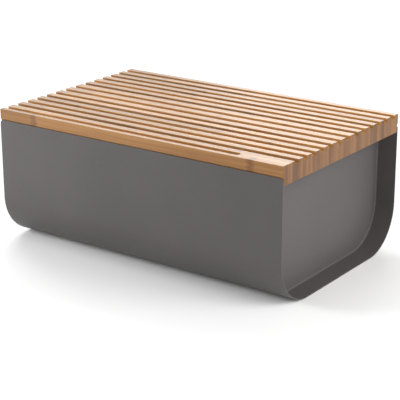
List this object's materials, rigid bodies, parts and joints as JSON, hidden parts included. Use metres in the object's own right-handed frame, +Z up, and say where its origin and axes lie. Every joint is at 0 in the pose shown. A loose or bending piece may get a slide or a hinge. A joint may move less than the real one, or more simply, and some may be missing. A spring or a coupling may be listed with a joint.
{
  "type": "bread bin",
  "caption": "Bread bin: a wide U of folded dark grey sheet steel with inset end panels, and a lift-off bamboo lid with long crumb grooves that drops between the walls.",
  "frame": {"origin": "middle of the underside, on the surface that the bin stands on", "axes": "+X along the bin towards the end where the first groove stops short, +Y from front to back, +Z up towards the lid"},
  "size_m": [0.34, 0.215, 0.14],
  "materials": {
    "powder_coat": "fine matt warm grey powder coat",
    "bamboo": "oiled, sanded bamboo staves"
  },
  "bodies": {
    "bin": {"body_shell": "powder_coat", "end_panel_left": "powder_coat", "end_panel_right": "powder_coat"},
    "lid": {"lid_stave_01": "bamboo", "lid_stave_02": "bamboo", "lid_stave_03": "bamboo", "lid_stave_04": "bamboo", "lid_stave_05": "bamboo", "lid_stave_06": "bamboo", "lid_stave_07": "bamboo", "lid_stave_08": "bamboo", "lid_stave_09": "bamboo", "lid_stave_10": "bamboo", "lid_stave_11": "bamboo", "lid_stave_12": "bamboo", "lid_stave_13": "bamboo", "lid_stave_14": "bamboo", "lid_stave_15": "bamboo", "lid_stave_16": "bamboo", "lid_stave_17": "bamboo", "lid_stave_18": "bamboo", "lid_stave_19": "bamboo", "lid_stave_20": "bamboo", "lid_stave_21": "bamboo", "lid_stave_22": "bamboo", "lid_stave_23": "bamboo", "lid_stave_24": "bamboo", "lid_stave_25": "bamboo", "lid_stave_26": "bamboo", "lid_stave_27": "bamboo", "lid_stave_28": "bamboo", "lid_stave_29": "bamboo", "lid_stave_30": "bamboo"}
  },
  "joints": [
    {"name": "lid_lift", "type": "slide", "parent": "bin", "child": "lid", "axis": [0, 0, 1], "range_m": [0, 0.15]}
  ]
}
